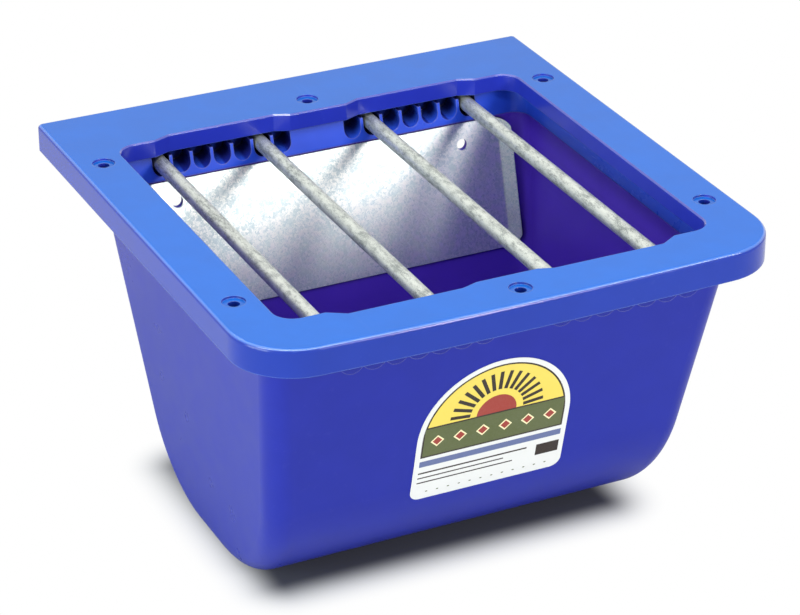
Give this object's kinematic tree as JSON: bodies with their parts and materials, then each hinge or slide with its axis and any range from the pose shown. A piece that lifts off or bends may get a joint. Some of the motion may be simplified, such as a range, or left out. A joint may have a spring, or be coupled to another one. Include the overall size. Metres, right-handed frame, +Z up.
{
  "type": "foal feeder",
  "caption": "Round-bottomed plastic feed tub with a bolted mouth frame, steel bars across the mouth that keep larger muzzles out, and a steel backing plate.",
  "frame": {"origin": "on the ground under the middle of the cover frame's outline", "axes": "+Z up out of the mouth, +Y towards the wall or fence that it hangs on, +X to the right seen from the front; the bars lie along Y"},
  "size_m": [0.31, 0.321, 0.2],
  "materials": {
    "blue_plastic": "moulded polyethylene, satin gloss",
    "galvanised_bar": "galvanised, dull and mottled",
    "galvanised_sheet": "galvanised sheet with a fine spangle",
    "screw_steel": "zinc plated",
    "label_film": "printed film"
  },
  "bodies": {
    "feeder": {"tub": "blue_plastic", "tub_rim": "blue_plastic", "top_frame": "blue_plastic", "backing_plate": "galvanised_sheet", "front_label": "label_film", "frame_screw_1": "screw_steel", "frame_screw_2": "screw_steel", "frame_screw_3": "screw_steel", "frame_screw_4": "screw_steel", "frame_screw_5": "screw_steel", "frame_screw_6": "screw_steel"},
    "bar_1": {"bar_1": "galvanised_bar"},
    "bar_2": {"bar_2": "galvanised_bar"},
    "bar_3": {"bar_3": "galvanised_bar"},
    "bar_4": {"bar_4": "galvanised_bar"}
  },
  "joints": [
    {"name": "bar_1_spin", "type": "hinge", "parent": "feeder", "child": "bar_1", "pos_m": [-0.09816, 0, 0.1835], "axis": [0, 1, 0], "continuous": true},
    {"name": "bar_2_spin", "type": "hinge", "parent": "feeder", "child": "bar_2", "pos_m": [-0.03511, 0, 0.1835], "axis": [0, 1, 0], "continuous": true},
    {"name": "bar_3_spin", "type": "hinge", "parent": "feeder", "child": "bar_3", "pos_m": [0.03511, 0, 0.1835], "axis": [0, 1, 0], "continuous": true},
    {"name": "bar_4_spin", "type": "hinge", "parent": "feeder", "child": "bar_4", "pos_m": [0.09816, 0, 0.1835], "axis": [0, 1, 0], "continuous": true}
  ]
}
